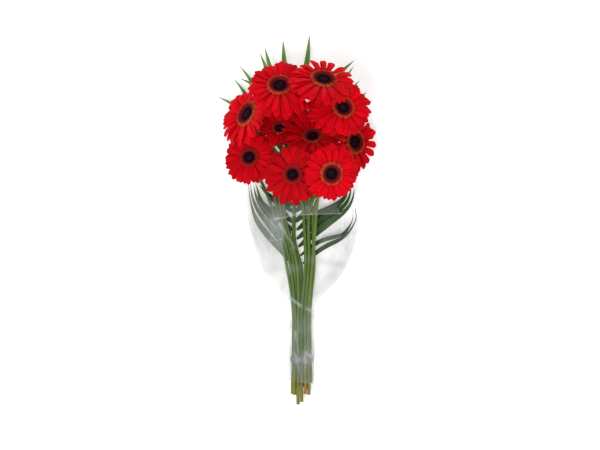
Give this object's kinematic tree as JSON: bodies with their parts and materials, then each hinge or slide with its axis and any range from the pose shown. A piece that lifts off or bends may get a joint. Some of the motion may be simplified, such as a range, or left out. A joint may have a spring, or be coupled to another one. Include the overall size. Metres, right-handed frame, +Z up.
{
  "type": "gerbera bunch in a film sleeve",
  "caption": "Red gerberas and a palm frond in a clear film sleeve gathered round their stems, lying on its back, flowers facing up.",
  "frame": {"origin": "under the middle of the bunch's bounding box, on the surface it lies on", "axes": "+Y along the stems from the cut ends to the flowers, +Z up from the surface, the way the flowers face"},
  "size_m": [0.2438, 0.5722, 0.1256],
  "materials": {
    "petals": "satin, finely ribbed along the petal",
    "disc": "matt, packed with small buds",
    "stem": "matt, fine ribs and short hairs",
    "palm": "satin, parallel veins",
    "film": "clear, thin and crumpled",
    "band": "matt"
  },
  "bodies": {
    "root": {"gerbera_stem_01": "stem", "gerbera_stem_02": "stem", "gerbera_stem_03": "stem", "gerbera_stem_04": "stem", "gerbera_stem_05": "stem", "gerbera_stem_06": "stem", "gerbera_stem_07": "stem", "gerbera_stem_08": "stem", "gerbera_stem_09": "stem", "gerbera_stem_10": "stem", "ray_petals_01": "petals", "ray_petals_02": "petals", "ray_petals_03": "petals", "ray_petals_04": "petals", "ray_petals_05": "petals", "ray_petals_06": "petals", "ray_petals_07": "petals", "ray_petals_08": "petals", "ray_petals_09": "petals", "ray_petals_10": "petals", "flower_disc_01": "disc", "flower_disc_02": "disc", "flower_disc_03": "disc", "flower_disc_04": "disc", "flower_disc_05": "disc", "flower_disc_06": "disc", "flower_disc_07": "disc", "flower_disc_08": "disc", "flower_disc_09": "disc", "flower_disc_10": "disc", "palm_rachis": "palm", "palm_leaflet_01": "palm", "palm_leaflet_02": "palm", "palm_leaflet_03": "palm", "palm_leaflet_04": "palm", "palm_leaflet_05": "palm", "palm_leaflet_06": "palm", "palm_leaflet_07": "palm", "palm_leaflet_08": "palm", "palm_leaflet_09": "palm", "palm_leaflet_10": "palm", "palm_leaflet_11": "palm", "palm_leaflet_12": "palm", "palm_leaflet_13": "palm", "palm_leaflet_14": "palm", "palm_leaflet_15": "palm", "palm_leaflet_16": "palm", "palm_leaflet_17": "palm", "palm_leaflet_18": "palm", "palm_leaflet_19": "palm", "palm_leaflet_20": "palm", "palm_leaflet_21": "palm", "palm_leaflet_22": "palm", "film_sleeve": "film", "elastic_band": "band"}
  },
  "joints": []
}
